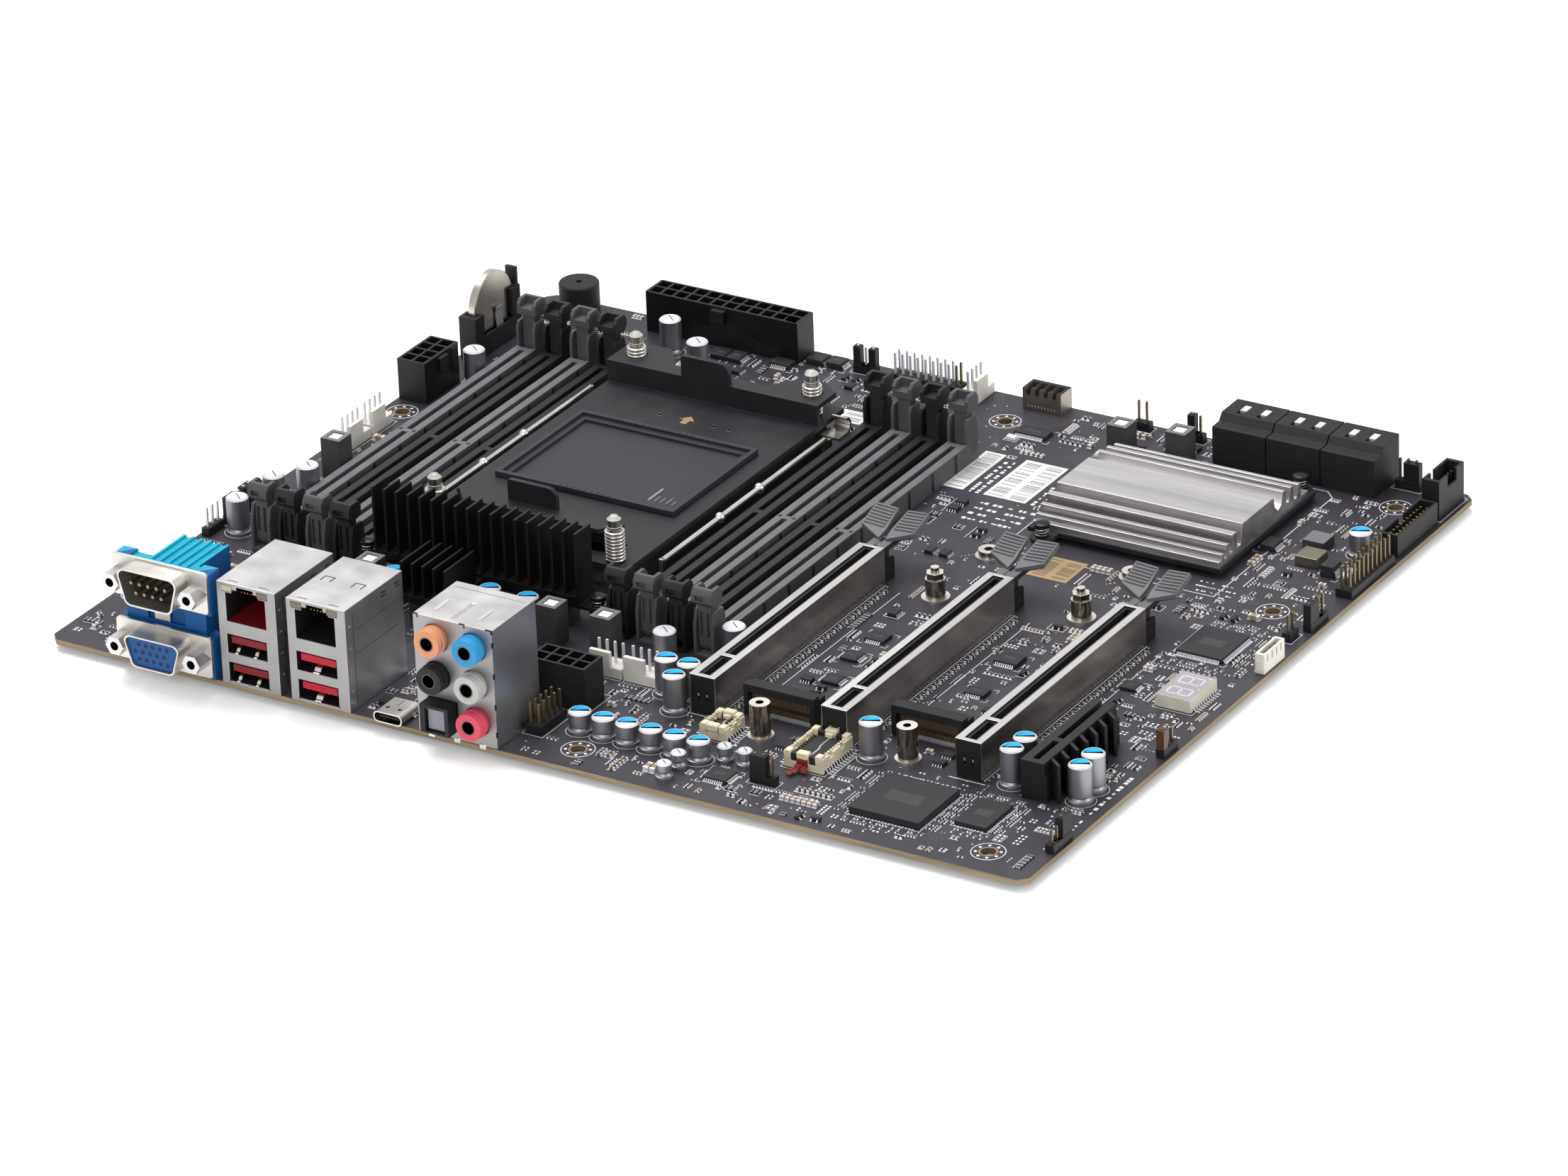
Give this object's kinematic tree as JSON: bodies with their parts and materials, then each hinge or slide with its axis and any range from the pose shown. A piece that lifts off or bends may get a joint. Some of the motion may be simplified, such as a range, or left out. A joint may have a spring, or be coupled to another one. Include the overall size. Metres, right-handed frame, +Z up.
{
  "type": "motherboard",
  "caption": "Workstation motherboard with a covered processor socket, memory slots with tilting latches, expansion slots and a rear row of ports.",
  "frame": {"origin": "axis of the datum mounting hole beside the rear edge, at the board's underside", "axes": "+X along the rear edge, from the serial ports towards the expansion slots; +Y away from the rear edge; +Z up from the component side"},
  "size_m": [0.3048, 0.2631, 0.0385],
  "materials": {
    "pcb": "satin solder mask",
    "solder_tails": "solder",
    "dsub_housing": "satin moulded",
    "dsub_shells": "bright nickel",
    "dsub_jackscrews": "bright nickel",
    "lan_usb_shells": "satin",
    "port_cores": "satin moulded",
    "usb_tongues": "satin moulded",
    "usb_c_and_slim_ports": "satin",
    "audio_shell": "satin",
    "audio_jacks": "satin moulded",
    "spdif_port": "satin moulded",
    "spdif_shutter": "satin moulded",
    "dimm_slots_grey": "satin moulded",
    "dimm_slots_black": "satin moulded",
    "pcie_slots": "satin moulded",
    "pcie_shields": "satin",
    "cpu_socket": "satin moulded",
    "cpu_backplate": "satin",
    "bolster_plate": "satin black",
    "bolster_springs": "polished wire",
    "load_studs": "bright zinc",
    "socket_cover": "satin moulded",
    "vrm_heatsink": "black anodised",
    "chipset_heatsink": "brushed",
    "push_pins": "satin moulded",
    "power_connectors": "satin moulded",
    "sata_ports": "satin moulded",
    "capacitors": "satin sleeve",
    "chokes": "pressed ferrite",
    "buzzer": "satin moulded",
    "battery_holder": "satin moulded",
    "coin_cell": "bright steel",
    "header_bases": "satin moulded",
    "header_pins": "gold flash",
    "fan_headers": "satin moulded",
    "m2_connectors": "satin moulded",
    "m2_standoffs": "bright nickel",
    "chips": "moulded epoxy",
    "rom_sockets": "cream moulded",
    "post_display": "cream cast",
    "latch_grey": "satin moulded",
    "latch_black": "satin moulded",
    "pcie_latches": "satin moulded"
  },
  "bodies": {
    "board": {"pcb": "pcb", "solder_tails": "solder_tails", "dsub_housing": "dsub_housing", "dsub_shells": "dsub_shells", "dsub_jackscrews": "dsub_jackscrews", "lan_usb_shells": "lan_usb_shells", "port_cores": "port_cores", "usb_tongues": "usb_tongues", "usb_c_and_slim_ports": "usb_c_and_slim_ports", "audio_shell": "audio_shell", "audio_jacks": "audio_jacks", "spdif_port": "spdif_port", "dimm_slots_grey": "dimm_slots_grey", "dimm_slots_black": "dimm_slots_black", "pcie_slots": "pcie_slots", "pcie_shields": "pcie_shields", "cpu_socket": "cpu_socket", "cpu_backplate": "cpu_backplate", "bolster_plate": "bolster_plate", "bolster_springs": "bolster_springs", "load_studs": "load_studs", "vrm_heatsink": "vrm_heatsink", "chipset_heatsink": "chipset_heatsink", "push_pins": "push_pins", "power_connectors": "power_connectors", "sata_ports": "sata_ports", "capacitors": "capacitors", "chokes": "chokes", "buzzer": "buzzer", "battery_holder": "battery_holder", "header_bases": "header_bases", "header_pins": "header_pins", "fan_headers": "fan_headers", "m2_connectors": "m2_connectors", "m2_standoffs": "m2_standoffs", "chips": "chips", "rom_sockets": "rom_sockets", "post_display": "post_display"},
    "dimm_latch_near_1": {"dimm_latch_near_1": "latch_grey"},
    "dimm_latch_near_2": {"dimm_latch_near_2": "latch_black"},
    "dimm_latch_near_3": {"dimm_latch_near_3": "latch_grey"},
    "dimm_latch_near_4": {"dimm_latch_near_4": "latch_black"},
    "dimm_latch_near_5": {"dimm_latch_near_5": "latch_black"},
    "dimm_latch_near_6": {"dimm_latch_near_6": "latch_grey"},
    "dimm_latch_near_7": {"dimm_latch_near_7": "latch_black"},
    "dimm_latch_near_8": {"dimm_latch_near_8": "latch_grey"},
    "dimm_latch_far_1": {"dimm_latch_far_1": "latch_grey"},
    "dimm_latch_far_2": {"dimm_latch_far_2": "latch_black"},
    "dimm_latch_far_3": {"dimm_latch_far_3": "latch_grey"},
    "dimm_latch_far_4": {"dimm_latch_far_4": "latch_black"},
    "dimm_latch_far_5": {"dimm_latch_far_5": "latch_black"},
    "dimm_latch_far_6": {"dimm_latch_far_6": "latch_grey"},
    "dimm_latch_far_7": {"dimm_latch_far_7": "latch_black"},
    "dimm_latch_far_8": {"dimm_latch_far_8": "latch_grey"},
    "pcie_latch_1": {"pcie_latch_1": "pcie_latches"},
    "pcie_latch_2": {"pcie_latch_2": "pcie_latches"},
    "pcie_latch_3": {"pcie_latch_3": "pcie_latches"},
    "spdif_shutter": {"spdif_shutter": "spdif_shutter"},
    "socket_cover": {"socket_cover": "socket_cover"},
    "coin_cell": {"coin_cell": "coin_cell"}
  },
  "joints": [
    {"name": "latch_near_1_tilt", "type": "hinge", "parent": "board", "child": "dimm_latch_near_1", "pos_m": [-0.26629, 0.06344, 0.0048], "axis": [1, 0, 0], "range_deg": [0, 22]},
    {"name": "latch_near_2_tilt", "type": "hinge", "parent": "board", "child": "dimm_latch_near_2", "pos_m": [-0.25715, 0.06344, 0.0048], "axis": [1, 0, 0], "range_deg": [0, 22]},
    {"name": "latch_near_3_tilt", "type": "hinge", "parent": "board", "child": "dimm_latch_near_3", "pos_m": [-0.24801, 0.06344, 0.0048], "axis": [1, 0, 0], "range_deg": [0, 22]},
    {"name": "latch_near_4_tilt", "type": "hinge", "parent": "board", "child": "dimm_latch_near_4", "pos_m": [-0.23887, 0.06344, 0.0048], "axis": [1, 0, 0], "range_deg": [0, 22]},
    {"name": "latch_near_5_tilt", "type": "hinge", "parent": "board", "child": "dimm_latch_near_5", "pos_m": [-0.14989, 0.06344, 0.0048], "axis": [1, 0, 0], "range_deg": [0, 22]},
    {"name": "latch_near_6_tilt", "type": "hinge", "parent": "board", "child": "dimm_latch_near_6", "pos_m": [-0.14075, 0.06344, 0.0048], "axis": [1, 0, 0], "range_deg": [0, 22]},
    {"name": "latch_near_7_tilt", "type": "hinge", "parent": "board", "child": "dimm_latch_near_7", "pos_m": [-0.13161, 0.06344, 0.0048], "axis": [1, 0, 0], "range_deg": [0, 22]},
    {"name": "latch_near_8_tilt", "type": "hinge", "parent": "board", "child": "dimm_latch_near_8", "pos_m": [-0.12247, 0.06344, 0.0048], "axis": [1, 0, 0], "range_deg": [0, 22]},
    {"name": "latch_far_1_tilt", "type": "hinge", "parent": "board", "child": "dimm_latch_far_1", "pos_m": [-0.26629, 0.20024, 0.0048], "axis": [-1, 0, 0], "range_deg": [0, 30]},
    {"name": "latch_far_2_tilt", "type": "hinge", "parent": "board", "child": "dimm_latch_far_2", "pos_m": [-0.25715, 0.20024, 0.0048], "axis": [-1, 0, 0], "range_deg": [0, 30]},
    {"name": "latch_far_3_tilt", "type": "hinge", "parent": "board", "child": "dimm_latch_far_3", "pos_m": [-0.24801, 0.20024, 0.0048], "axis": [-1, 0, 0], "range_deg": [0, 30]},
    {"name": "latch_far_4_tilt", "type": "hinge", "parent": "board", "child": "dimm_latch_far_4", "pos_m": [-0.23887, 0.20024, 0.0048], "axis": [-1, 0, 0], "range_deg": [0, 30]},
    {"name": "latch_far_5_tilt", "type": "hinge", "parent": "board", "child": "dimm_latch_far_5", "pos_m": [-0.14989, 0.20024, 0.0048], "axis": [-1, 0, 0], "range_deg": [0, 30]},
    {"name": "latch_far_6_tilt", "type": "hinge", "parent": "board", "child": "dimm_latch_far_6", "pos_m": [-0.14075, 0.20024, 0.0048], "axis": [-1, 0, 0], "range_deg": [0, 30]},
    {"name": "latch_far_7_tilt", "type": "hinge", "parent": "board", "child": "dimm_latch_far_7", "pos_m": [-0.13161, 0.20024, 0.0048], "axis": [-1, 0, 0], "range_deg": [0, 30]},
    {"name": "latch_far_8_tilt", "type": "hinge", "parent": "board", "child": "dimm_latch_far_8", "pos_m": [-0.12247, 0.20024, 0.0048], "axis": [-1, 0, 0], "range_deg": [0, 30]},
    {"name": "slot_latch_1_tilt", "type": "hinge", "parent": "board", "child": "pcie_latch_1", "pos_m": [-0.10569, 0.12494, 0.0046], "axis": [-1, 0, 0], "range_deg": [0, 15]},
    {"name": "slot_latch_2_tilt", "type": "hinge", "parent": "board", "child": "pcie_latch_2", "pos_m": [-0.06505, 0.12494, 0.0046], "axis": [-1, 0, 0], "range_deg": [0, 15]},
    {"name": "slot_latch_3_tilt", "type": "hinge", "parent": "board", "child": "pcie_latch_3", "pos_m": [-0.02441, 0.12494, 0.0046], "axis": [-1, 0, 0], "range_deg": [0, 15]},
    {"name": "shutter_swing", "type": "hinge", "parent": "board", "child": "spdif_shutter", "pos_m": [-0.15959, -0.01316, 0.011], "axis": [1, 0, 0], "range_deg": [0, 80], "stiffness_Nm_per_rad": 0.0002, "springref_deg": -11.46},
    {"name": "cover_lift", "type": "slide", "parent": "board", "child": "socket_cover", "axis": [0, 0, 1], "range_m": [0, 0.04]},
    {"name": "coin_cell_lift", "type": "slide", "parent": "board", "child": "coin_cell", "axis": [0, 0, 1], "range_m": [0, 0.022]}
  ]
}
